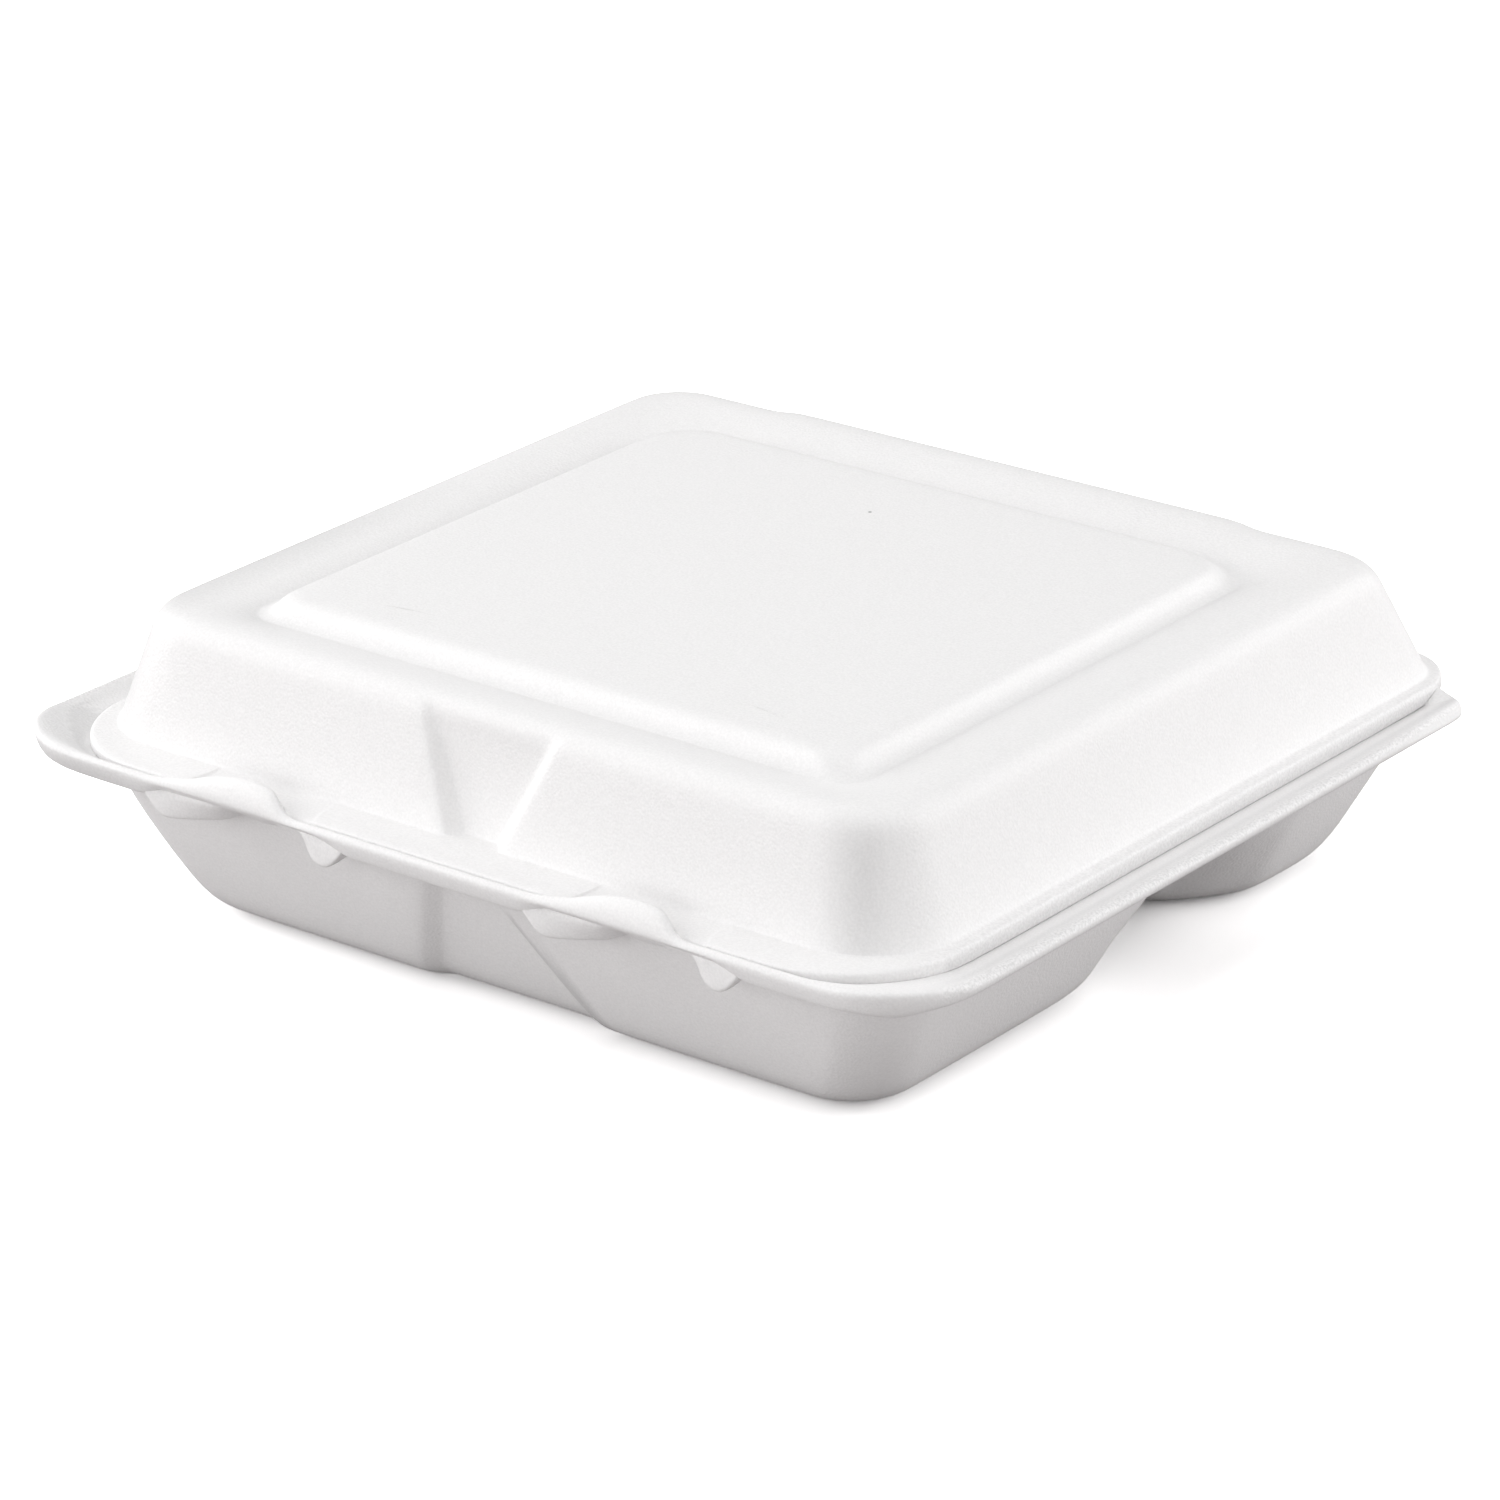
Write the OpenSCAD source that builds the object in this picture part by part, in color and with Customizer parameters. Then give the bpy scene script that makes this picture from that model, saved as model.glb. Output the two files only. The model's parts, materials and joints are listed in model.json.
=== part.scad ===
// Foam takeaway container with a hinged lid: one thermoformed sheet, folded at the back.
// The base is a tray of three compartments, and the lid locks over two tongues at the front.
// The origin is on the floor, below the middle of the whole, with the hinge at the back (+Y).
// Sizes from the middle to the front or the back are measured from the middle of the lid.

/* [Sheet] */
// Thickness of the foam sheet
sheet = 2; // [1.6:0.1:2.6]
// Clearance between the closed lid and what it lies on
seat_gap = 0.3; // [0.2:0.05:0.6]
// Segments in a full circle of every round corner
corner_segments = 48; // [24:8:64]

/* [Rim] */
// Width over the rim of the base
rim_w = 203; // [190:1:220]
// Distance from the middle to the front of the rim
rim_front = 93; // [90:0.5:98]
// Distance from the middle to the hinge line
hinge_back = 86; // [84:0.5:90]
// Height of the shelf that the lid lies on
shelf_h = 32.6; // [28:0.2:40]
// Height of the raised lip above the shelf
lip_rise = 1.7; // [1:0.1:2.4]
// Width of the flat top of the lip
lip_w = 3.4; // [2:0.2:5]
// Radius of the front corners of the rim
rim_corner_r = 17; // [10:1:22]
// Drop of the rim's outer face at the front corners
corner_drop = 3.2; // [1:0.2:4.5]
// Length of the back corner that is cut off aslant
back_taper = 16; // [8:1:24]

/* [Base] */
// Width of the floor
floor_w = 152; // [120:1:160]
// Distance from the middle to the front of the floor
floor_front = 72.3; // [60:0.5:78]
// Distance from the middle to the back of the floor
floor_back = 69; // [56:0.5:74]
// Width over the walls just below the rim
wall_w = 178; // [166:1:182]
// Distance from the middle to the front wall below the rim
wall_front = 84.5; // [80:0.5:86]
// Distance from the middle to the back wall below the rim
wall_back = 81; // [76:0.5:82]
// Radius of the upright corners of the compartments
foot_r = 15; // [8:1:18]
// Radius of the round between the floor and the walls
floor_round = 5; // [2:0.5:8]
// Height of the divider tops
divider_h = 24; // [14:0.5:27]
// Place of the cross divider, measured back from the middle
divider_back = 6; // [-6:1:14]
// Gap between the feet at the floor
channel_w = 18; // [12:1:24]
// Gap between the feet below the divider tops
channel_top_w = 6; // [4:0.5:10]

/* [Grip recess] */
// Depth of the recess at the middle of the front
grip_depth = 2.4; // [1:0.1:3]
// Half width of the recess where lid and base meet
grip_half_mid = 6; // [4:0.5:9]
// Half width of the recess at the top of the lid wall
grip_half_top = 15; // [10:0.5:22]
// Half width of the recess at the floor
grip_half_floor = 18; // [10:0.5:22]
// Width of the recess's sloped sides
grip_step = 2; // [1:0.2:4]

/* [Locks] */
// Distance from the middle to the centre of each lock
lock_x = 42.5; // [36:0.5:46]
// Length of each slot in the front flange of the lid
slot_w = 29; // [22:0.5:32]
// Depth of each slot
slot_depth = 6; // [4:0.5:7]
// Height of the tongues above the lip
tongue_h = 3; // [1:0.2:4]
// Length of a tongue along its top
tongue_top_w = 18; // [8:1:22]
// Width of the pockets beside each tongue, below the rim
pocket_w = 16; // [8:1:17]
// Height of the pockets
pocket_h = 4.5; // [2:0.2:5.5]

/* [Lid] */
// Width of the lid at the foot of its walls
lid_w = 179.6; // [174:0.4:181]
// Depth of the lid at the foot of its walls
lid_d = 164.6; // [156:0.4:166]
// Height of the lid's rim above the top of its flange
lid_rim_h = 21.7; // [16:0.2:30]
// Height of the raised panel above the top of the flange
lid_panel_h = 23.5; // [17:0.2:33]
// Depth of the groove between rim and panel
groove_depth = 1.7; // [0.6:0.1:2.4]
// Inset of the lid's rim from the foot of the wall
lid_rim_inset = 11; // [8:0.5:13]
// Inset of the panel's foot from the foot of the wall
panel_inset = 23.2; // [20:0.2:27]
// Run of the sloped edge of the panel
panel_slope = 4.6; // [3:0.2:6]
// Radius of the round over the top of the wall
lid_round = 5; // [3:0.2:6]
// Radius of the upright corners of the lid at the foot
lid_corner_r = 12.6; // [9:0.2:16]
// Width of the flange at the sides
flange_side = 2.6; // [2:0.1:3.2]
// Width of the flange at the front
flange_front = 8.6; // [8:0.1:9]
// Distance from the middle to the dents in the lid's back edge
dent_x = 54; // [44:1:58]
// Depth of these dents
dent_depth = 1.2; // [0.6:0.1:1.6]
// Width of these dents
dent_w = 7; // [4:0.5:10]

/* [Hidden] */
foam = "white";
// Shares of the side insets that the lid takes at its front and at its back
front_share = 0.8;
back_share = 1.06;
// Steps in the rounds along an edge
round_rows = 4;
wall_h = shelf_h - sheet;
lip_h = shelf_h + lip_rise;
hinge_gap = seat_gap;
// Distance from the middle of the whole back to the middle of the lid
lid_back = (rim_front - hinge_back + hinge_gap) / 2;
seam = 0.1;
reach = rim_w;
flange_low = shelf_h + seat_gap;
flange_top = flange_low + sheet;
corner_steps = corner_segments / 4;

// A value between two others
function between(a, b, share) = a + (b - a) * share;

// Half width of the base's outer walls at a height
function wall_half(z) = between(floor_w, wall_w, z / wall_h) / 2;

// Front and back of the base's outer walls at a height
function wall_front_at(z) = -between(floor_front, wall_front, z / wall_h);
function wall_back_at(z) = between(floor_back, wall_back, z / wall_h);

// Half of the gap between two feet at a height
function channel_half(z) = between(channel_w, channel_top_w, z / divider_h) / 2;

// Thickness of a leaning wall, measured level
wall_lean = atan((wall_w - floor_w) / 2 / wall_h);
level_sheet = sheet / cos(wall_lean);

// Points of a corner arc that starts at an angle
function arc(x, y, r, start, z) = [
    for (i = [0 : corner_steps])
        let (a = start + 90 * i / corner_steps)
        [x + r * cos(a), y + r * sin(a), z]
];

// A rounded rectangle of points from x0 to x1 and y0 to y1 at height z
function plate(x0, x1, y0, y1, r, z) = concat(
    arc(x1 - r, y0 + r, r, -90, z),
    arc(x1 - r, y1 - r, r, 0, z),
    arc(x0 + r, y1 - r, r, 90, z),
    arc(x0 + r, y0 + r, r, 180, z)
);

// A box of points from one corner to the other
function box(a, b) = [
    for (x = [a[0], b[0]])
        for (y = [a[1], b[1]])
            for (z = [a[2], b[2]])
                [x, y, z]
];

// The convex solid round a list of points
module wrap(points) {
    hull()
        polyhedron(points = points, faces = [for (i = [2 : len(points) - 1]) [i - 2, i - 1, i]]);
}

// Outline of one compartment at a height: [x0, x1, y0, y1], drawn in by a margin
function front_cell(z, m) = [
    -wall_half(z) + m,
    wall_half(z) - m,
    wall_front_at(z) + m,
    divider_back - channel_half(z) - m
];
function back_cell(z, m) = [
    channel_half(z) + m,
    wall_half(z) - m,
    divider_back + channel_half(z) + m,
    wall_back_at(z) - m
];
function cell(at_back, z, m) = at_back ? back_cell(z, m) : front_cell(z, m);

// A level of one compartment as points
function cell_plate(at_back, z, m, r) =
    let (c = cell(at_back, z, m))
    plate(c[0], c[1], c[2], c[3], r, z);

// One compartment as a solid from the floor level z0 up to z1, with a rounded lower edge
module cell_solid(at_back, z0, z1, m, round, r) {
    lower = [
        for (i = [0 : round_rows])
            let (a = 90 * i / round_rows)
            for (p = cell_plate(at_back, z0 + round * (1 - cos(a)), m + round * (1 - sin(a)), r))
                p
    ];
    wrap(concat(lower, cell_plate(at_back, z1, m, r)));
}

// The three compartments: the wide one at the front and a pair at the back
module cells(z0, z1, m, round, r) {
    cell_solid(false, z0, z1, m, round, r);
    for (side = [0, 1])
        mirror([side, 0, 0])
            cell_solid(true, z0, z1, m, round, r);
}

// A level of the walls as points, drawn in by a margin
function wall_plate(z, m, r) =
    plate(-wall_half(z) + m, wall_half(z) - m, wall_front_at(z) + m, wall_back_at(z) - m, r, z);

// The single space of the walls above the dividers
module upper_space(z0, z1, m, r) {
    wrap(concat(wall_plate(z0, m, r), wall_plate(z1, m, r)));
}

// Outline of the rim as points at a height, with the back corners cut aslant
function rim_plate(z) =
    let (r = rim_corner_r, half = rim_w / 2, front = -rim_front + r)
    concat(
        arc(half - r, front, r, -90, z),
        [for (side = [1, -1]) for (k = [0 : 2]) rim_back_point(side, side > 0 ? k : 2 - k, z)],
        arc(-half + r, front, r, 180, z)
    );

// Three points of a back corner, from the side round to the hinge line
function rim_back_point(side, k, z) =
    k == 0 ? [side * rim_w / 2, hinge_back - 2 * back_taper, z]
    : k == 1 ? [side * (rim_w / 2 - back_taper / 4), hinge_back - back_taper / 2, z]
    : [side * (wall_half(wall_h) + sheet), hinge_back - hinge_gap, z];

// The rim's solid: from the top of the walls out to the lip
module rim_block() {
    low = wall_h - 2 * sheet;
    wrap(concat(wall_plate(low, sheet, rim_corner_r), rim_plate(lip_h - sheet), rim_plate(lip_h)));
    for (side = [-1, 1])
        rim_corner(side);
}

// The deeper outer face of the rim at a front corner
module rim_corner(side) {
    r = rim_corner_r;
    x = side * (rim_w / 2 - r);
    y = -rim_front + r;
    low = lip_h - sheet - corner_drop;
    wrap(concat(
        disc(x, y, r - corner_drop, low),
        disc(x, y, r, lip_h - sheet),
        disc(x, y, r, lip_h)
    ));
}

// A full circle of points
function disc(x, y, r, z) = [for (start = [-90, 0, 90, 180]) for (p = arc(x, y, r, start, z)) p];

// The hollow above the shelf, open at the back, with a sloped face up to the lip
module shelf_space() {
    front = lip_w / 4;
    wrap(concat(
        shelf_plate(lip_w + lip_rise, front + lip_rise / 2, shelf_h),
        shelf_plate(lip_w, front, lip_h),
        shelf_plate(lip_w, front, lip_h + sheet)
    ));
}

// One level of that hollow, a side margin and a front margin in from the rim
function shelf_plate(m_side, m_front, z) =
    let (half = rim_w / 2 - m_side)
    plate(-half, half, -rim_front + m_front, hinge_back + reach, rim_corner_r - lip_w, z);

// The grip recess of the base's front wall, narrow at the rim and wide at the floor
module grip_cut(m, top) {
    wrap(concat(grip_plate(-seam, m), grip_plate(top, m)));
}

// A level of that recess: open to the front, with sloped sides
function grip_plate(z, m) =
    let (
        half = between(grip_half_floor, grip_half_mid, z / wall_h) + m,
        face = wall_front_at(z),
        wide = half + grip_step
    )
    [
        [-wide - grip_step, face - grip_depth, z],
        [wide + grip_step, face - grip_depth, z],
        [half, face + grip_depth + m, z],
        [-half, face + grip_depth + m, z]
    ];

// A tongue that stands on the front lip and catches in the lid's slot
module tongue(x) {
    thick = lip_w / 2;
    foot_w = slot_w - 2 * sheet;
    top_w = tongue_top_w;
    wrap(concat(
        box([x - foot_w / 2, -rim_front + seam, lip_h - sheet], [x + foot_w / 2, -rim_front + thick, lip_h]),
        box(
            [x - top_w / 2, -rim_front + thick / 2, lip_h + tongue_h / 2],
            [x + top_w / 2, -rim_front + thick, lip_h + tongue_h]
        )
    ));
}

// A pocket pressed into the wedge below the rim, beside a tongue
module pocket(x) {
    deep = wall_front + sheet;
    top = wall_h + sheet / 4;
    half = pocket_w / 2;
    wrap(concat(
        box([x - half, -rim_front - sheet, top - pocket_h], [x + half, -rim_front, top]),
        box([x - half + sheet, -rim_front, top - pocket_h], [x + half - sheet, -deep, top - lip_rise])
    ));
}

// Tray of the container: three compartments, rim, shelf, lip and two tongues
module base_tray() {
    inner_r = foot_r - sheet;
    color(foam)
        translate([0, lid_back, 0])
        difference() {
            union() {
                difference() {
                    union() {
                        cells(0, divider_h, seam, floor_round, foot_r);
                        upper_space(divider_h - sheet, wall_h, 0, foot_r);
                        rim_block();
                    }
                    grip_cut(0, wall_h);
                    shelf_space();
                    for (side = [-1, 1])
                        for (end = [-1, 1])
                            pocket(side * lock_x + end * slot_w / 2);
                }
                for (side = [-1, 1])
                    tongue(side * lock_x);
            }
            difference() {
                union() {
                    cells(sheet, divider_h, level_sheet, floor_round - sheet, inner_r);
                    upper_space(divider_h, shelf_h + seam, level_sheet, inner_r);
                }
                grip_cut(level_sheet, shelf_h + sheet);
            }
        }
}

// Profile of the lid's outer face from the flange to the panel: [inset, height, corner radius]
lid_wall_h = lid_rim_h - lid_round;
lid_lean = atan((lid_rim_inset - lid_round) / lid_wall_h);
groove_h = lid_rim_h - groove_depth;
groove_in = panel_inset - (panel_inset - lid_rim_inset) / 2;
lid_profile = concat(
    [[0, 0, lid_corner_r]],
    [for (i = [0 : round_rows])
        let (a = between(lid_lean, 90, i / round_rows))
        [lid_rim_inset - lid_round * cos(a), lid_wall_h + lid_round * sin(a), lid_corner_r]],
    [
        [between(lid_rim_inset, groove_in, 1 / 3), lid_rim_h - groove_depth / 4, lid_corner_r * 3 / 4],
        [groove_in, groove_h, lid_corner_r * 2 / 3],
        [panel_inset, groove_h, lid_corner_r / 2],
        [panel_inset + panel_slope / 2, between(groove_h, lid_panel_h, 2 / 3), lid_corner_r / 2],
        [panel_inset + panel_slope, lid_panel_h - lid_round / 20, lid_corner_r / 2],
        [panel_inset + 2 * panel_slope, lid_panel_h, lid_corner_r / 2]
    ]
);
last_row = len(lid_profile) - 1;

// Direction across the sheet at a row of the profile, towards the inside
function unit(v) = v / norm(v);
function along(i) = unit([
    lid_profile[min(i + 1, last_row)][0] - lid_profile[max(i - 1, 0)][0],
    lid_profile[min(i + 1, last_row)][1] - lid_profile[max(i - 1, 0)][1]
]);
function across(i) = i == last_row ? [0, -1] : [along(i)[1], -along(i)[0]];

// Half width of the grip recess at a height above the flange
function grip_half(h) = between(grip_half_mid, grip_half_top, h / lid_rim_h);

// Share of the full recess depth that a row takes: all on the wall, none on the top
function grip_share(i) = i <= 1 ? 1 : max(0, 1 - (i - 1) / round_rows);
function dent_share(i) = i >= 1 && i <= round_rows + 1 ? 1 : 0;

// Share by which the points along an edge close up where a ring is too short for them
edge_reach = max(lock_x + slot_w / 2, dent_x + dent_w / 2) + sheet;
function squeeze(straight) = min(1, straight / edge_reach);

// Points of one front edge, left to right: the slots and the grip recess have their own points
function front_row(y, z, half, dip, cut, share) = concat(
    slot_end(-lock_x, -1, y, z, cut, share),
    slot_end(-lock_x, 1, y, z, cut, share),
    [
        [-half - grip_step, y, z],
        [-half, y + dip, z],
        [half, y + dip, z],
        [half + grip_step, y, z]
    ],
    slot_end(lock_x, -1, y, z, cut, share),
    slot_end(lock_x, 1, y, z, cut, share)
);
function slot_end(x, end, y, z, cut, share) =
    let (
        outer = [(x + end * slot_w / 2) * share, y, z],
        inner = [(x + end * (slot_w / 2 - seam)) * share, y + cut, z]
    )
    end < 0 ? [outer, inner] : [inner, outer];

// Points of one back edge, right to left, with a dent near each end
function back_row(y, z, dip, share) = [
    for (x = [dent_x, -dent_x])
        for (step = [1, 0, -1])
            [(x + step * dent_w / 2) * share, y - (step == 0 ? dip : 0), z]
];

// One closed ring of the lid: half width, front, back, corner radius and height
function ring(half, front, back, r, z, grip, dip, cut, dent) = concat(
    front_row(front, z, grip, dip, cut, squeeze(half - r)),
    arc(half - r, front + r, r, -90, z),
    arc(half - r, back - r, r, 0, z),
    back_row(back, z, dent, squeeze(half - r)),
    arc(-half + r, back - r, r, 90, z),
    arc(-half + r, front + r, r, 180, z)
);

// A ring of the lid's profile, moved across the sheet by a depth
function lid_ring(i, depth) =
    let (
        p = lid_profile[i],
        side_in = p[0] + across(i)[0] * depth,
        h = p[1] + across(i)[1] * depth,
        front_in = p[0] * front_share + across(i)[0] * depth,
        back_in = p[0] * back_share + across(i)[0] * depth
    )
    ring(
        lid_w / 2 - side_in,
        -lid_d / 2 + front_in,
        lid_d / 2 - back_in,
        p[2],
        flange_top + h,
        grip_half(max(p[1], 0)),
        grip_depth * grip_share(i),
        0,
        dent_depth * dent_share(i)
    );

// A ring of the flange's outer edge at a height
function flange_ring(z) = ring(
    lid_w / 2 + flange_side,
    -lid_d / 2 - flange_front,
    hinge_back - hinge_gap,
    lid_corner_r + flange_side,
    z,
    grip_half(0),
    0,
    slot_depth,
    0
);

// The foot of the wall inside the lid, level with the underside of the flange
function inner_foot() = [
    for (p = lid_ring(0, sheet)) [p[0], p[1], flange_low]
];

lid_rings = concat(
    [flange_ring(flange_low), flange_ring(flange_top)],
    [for (i = [0 : last_row]) lid_ring(i, 0)],
    [for (i = [last_row : -1 : 1]) lid_ring(i, sheet)],
    [inner_foot()]
);
ring_size = len(lid_rings[0]);
outer_cap = 2 + last_row;

// Faces between two neighbouring rings
function band(a, b) = [
    for (i = [0 : ring_size - 1])
        let (j = (i + 1) % ring_size)
        for (side = [0, 1])
            side == 0
                ? [a * ring_size + i, b * ring_size + i, b * ring_size + j]
                : [a * ring_size + i, b * ring_size + j, a * ring_size + j]
];

// Faces from one ring to the point at its middle
function cap(k, middle, up) = [
    for (i = [0 : ring_size - 1])
        let (a = k * ring_size + i, b = k * ring_size + (i + 1) % ring_size)
        up ? [middle, b, a] : [middle, a, b]
];

// Lid of the container: flange, leaning walls, rim, groove and raised panel, as one sheet
module lid() {
    rings = len(lid_rings);
    count = rings * ring_size;
    middle = (lid_d / 2 - panel_inset) * (front_share - back_share) / 2;
    top = flange_top + lid_panel_h;
    color(foam)
        translate([0, lid_back, 0])
        polyhedron(
            points = concat(
                [for (r = lid_rings) for (p = r) p],
                [[0, middle, top], [0, middle, top - sheet]]
            ),
            faces = concat(
                [for (k = [0 : rings - 1]) if (k != outer_cap) for (f = band(k, (k + 1) % rings)) f],
                cap(outer_cap, count, true),
                cap(outer_cap + 1, count + 1, false)
            ),
            convexity = 8
        );
}

base_tray();
lid();
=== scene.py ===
"""White foam takeaway container with a hinged lid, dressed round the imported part.

Lengths are in millimetres unless a name says otherwise. X runs right along the front, Y back to
the hinge and Z up, and Y is measured from the middle of the lid until a piece is set in its place.
"""

import json
import math

import bmesh
import bpy
from mathutils import Matrix, Vector


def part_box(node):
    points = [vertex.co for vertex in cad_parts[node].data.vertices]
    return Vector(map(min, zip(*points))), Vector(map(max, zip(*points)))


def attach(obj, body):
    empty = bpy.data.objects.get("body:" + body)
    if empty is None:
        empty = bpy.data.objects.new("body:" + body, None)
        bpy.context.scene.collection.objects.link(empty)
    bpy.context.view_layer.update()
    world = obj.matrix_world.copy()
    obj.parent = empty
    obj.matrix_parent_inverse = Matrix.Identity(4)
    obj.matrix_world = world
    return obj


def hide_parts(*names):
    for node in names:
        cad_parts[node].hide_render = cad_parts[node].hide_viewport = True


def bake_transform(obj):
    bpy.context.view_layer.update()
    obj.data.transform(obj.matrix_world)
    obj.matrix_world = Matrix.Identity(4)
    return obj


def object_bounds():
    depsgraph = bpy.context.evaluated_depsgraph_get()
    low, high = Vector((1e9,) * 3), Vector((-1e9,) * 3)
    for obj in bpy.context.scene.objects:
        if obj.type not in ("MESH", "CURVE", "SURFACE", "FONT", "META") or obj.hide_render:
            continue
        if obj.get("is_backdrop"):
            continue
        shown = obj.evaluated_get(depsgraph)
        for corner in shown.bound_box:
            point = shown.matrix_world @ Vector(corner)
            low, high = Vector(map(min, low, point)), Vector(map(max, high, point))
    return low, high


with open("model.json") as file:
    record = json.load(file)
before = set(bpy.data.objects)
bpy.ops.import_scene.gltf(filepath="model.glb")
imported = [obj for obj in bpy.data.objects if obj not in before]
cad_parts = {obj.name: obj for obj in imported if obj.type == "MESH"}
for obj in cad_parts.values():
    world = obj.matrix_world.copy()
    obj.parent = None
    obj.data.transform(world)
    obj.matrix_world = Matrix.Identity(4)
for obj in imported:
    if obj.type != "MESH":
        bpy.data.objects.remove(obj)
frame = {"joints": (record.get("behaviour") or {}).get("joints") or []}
cad_low, cad_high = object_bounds()

MM = 0.001
SIDES = (-1, 1)
# How close two places are to count as the same height or the same point
same = 0.05
near = 0.1

# Places that the frame gives
hinge = Vector(frame["joints"][0]["pos_m"]) / MM
lid_low, lid_high = (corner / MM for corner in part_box("lid"))
tray_low, tray_high = (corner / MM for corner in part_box("base_tray"))
rim_half = tray_high.x
hinge_back = 86.0
middle = hinge.y - hinge_back
rim_front = tray_low.y - middle
back_edge = lid_high.y - middle
sheet = 2.0
flange_low = lid_low.z
flange_top = flange_low + sheet
shelf_gap = 0.3
shelf_top = flange_low - shelf_gap

# Lid: sizes from the foot of its walls, and heights above the flange
lid_half = 89.8
lid_half_depth = 82.3
foot_corner = 17.0
ridge_corner = 11.0
back_foot_corner = 10.0
back_ridge_corner = 10.2
flange_side = lid_high.x - lid_half
flange_front = -lid_half_depth - (lid_low.y - middle)
flange_corner = 23.0
back_corner = 13.7
ridge_in = 11.0
ridge_h = 21.7
ridge_round = 5.0
groove_in = 23.2
groove_h = 20.0
panel_h = lid_high.z - flange_top
front_share = 0.8
back_share = 1.06
crease = 0.9
# Shares of the wall where rings lie, angles on the round at its top, and the fall from there to the groove
wall_shares = (0.02, 0.08, 0.5, 0.9)
ridge_angles = (42, 66, 90)
ridge_fall = ((0.25, -0.03), (0.53, 0.24), (0.78, 0.6), (0.95, 0.92), (1.0, 1.0))
# Rise from the groove to the panel: steps inwards, and the share of the rise at each
panel_line = (
    (0.6, 0.03),
    (2.0, 0.16),
    (2.9, 0.4),
    (3.7, 0.69),
    (4.7, 0.89),
    (6.1, 0.98),
    (8.3, 1.0),
    (16.8, 1.0),
)
corner_ease = 3.0
groove_corner = 6.0
panel_corner = 5.4
edge_turn = 1.3
edge_ease = 2.5
edge_round = 0.5
# Lines across the lid and along its back, and how far its back wall bulges, back and up
lid_cuts = (-45.0, -15.0, 15.0, 45.0)
lid_back_cuts = (45.0, 50.0, 54.0, 58.0)
bulge_half = 51.0
bulge = (0.8, 0.45)

# Grip recess, in the middle of the front of lid and tray
grip_x = 0.8
grip_half = 3.9
grip_step = 2.0
grip_spread = 10.0
grip_depth = 2.8
grip_fade = 0.45
grip_edge = 1.0
# Half width below the rim, how far it spreads at the floor, and width of the flank, for each side
tray_grip = {-1: (6.5, 12.0, 3.0), 1: (2.8, 19.0, 0.6)}
tray_grip_depth = 2.2

# Locks: a tongue on the rim stands in a slot of the lid's flange
lock_x = 42.6
slot_half = 13.6
slot_flare = 1.6
slot_front = -87.0
slot_open = (-12.6, 6.9)
slot_drop = 0.3
slot_tuck = 0.3
slot_edges = (-0.35, 0, 0.5)
lock_steps = (-26, -24, -21.5, -19, -16, -12, -8, -4, 0, 4, 6, 8, 10, 13, 16, 19, 21.5, 24, 26)
# Rise of a tongue along its lock, and the part that each row of the lip takes in it, back and up
tongue_line = (
    (-20, 0),
    (-12, 1.3),
    (-8, 2.7),
    (-4, 3.4),
    (0, 3.8),
    (4, 3.6),
    (6, 3.2),
    (8, 1.5),
    (10, 0.1),
    (13, 0),
)
tongue_lean = {
    2: (0.0, 0.05),
    3: (0.05, 0.2),
    4: (0.25, 0.72),
    5: (0.5, 1.0),
    6: (0.64, 0.98),
    7: (0.68, 0.5),
    8: (0.68, 0.06),
    9: (0.68, 0.0),
    10: (0.68, 0.0),
}
well_drop = 0.5
well_reach = (-17, 5)
# How far the turned-down edge of the lip rises along a lock, and the part that its lower rows take in it
lip_rise = ((-24.0, 0.0), (-21.5, 0.9), (-19.0, 2.3), (16.0, 2.3), (19.0, 1.6), (21.5, 0.6), (24.0, 0.0))
lip_rise_shares = (1.0, 0.85, 0.5, 0.1)
# Gusset under a lock: step along it, its front, its lower edge and where it meets the wall
gusset_line = (
    (-24.0, -91.8, 31.6, -84.6),
    (-22.3, -91.7, 29.6, -84.2),
    (-20.6, -91.6, 27.6, -83.8),
    (-19.2, -91.5, 26.8, -83.5),
    (-16.5, -90.9, 27.0, -83.4),
    (-13.0, -90.0, 27.4, -83.4),
    (-10.0, -88.9, 27.8, -83.4),
    (-7.8, -88.0, 28.0, -83.4),
    (-6.6, -86.2, 28.6, -83.6),
    (-4.0, -85.4, 29.4, -84.0),
    (2.0, -85.4, 29.6, -84.0),
    (9.0, -85.6, 29.4, -84.0),
    (11.5, -87.8, 29.2, -84.0),
    (13.5, -90.8, 28.8, -83.8),
    (15.5, -91.6, 27.3, -83.6),
    (17.5, -91.7, 26.8, -83.5),
    (19.3, -91.7, 27.4, -83.6),
    (21.3, -91.8, 29.4, -84.0),
    (23.0, -91.9, 31.6, -84.6),
)
gusset_top = 0.9
gusset_lip = 1.5

# Tray
lip_top = tray_low.z + 34.3
floor_half = 76.0
floor_front = 72.3
floor_back = 69.0
wall_half = 90.8
wall_front = 84.5
wall_back = 81.0
wall_h = 30.6
wall_level = 2.18
divider_y = 6.0
divider_h = 24.0
divider_top = 5.2
# Feet of the cross divider, in front and behind, and how far its mouths round off there
cross_foot = {-1: 11.2, 1: 21.0}
mouth_line = {-1: ((0.0, 4.0), (4.0, 1.2), (9.0, 0.2)), 1: ((0.0, 14.0), (6.0, 6.5), (13.0, 1.8))}
divider_foot = 11.2
divider_end = 4.0
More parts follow.
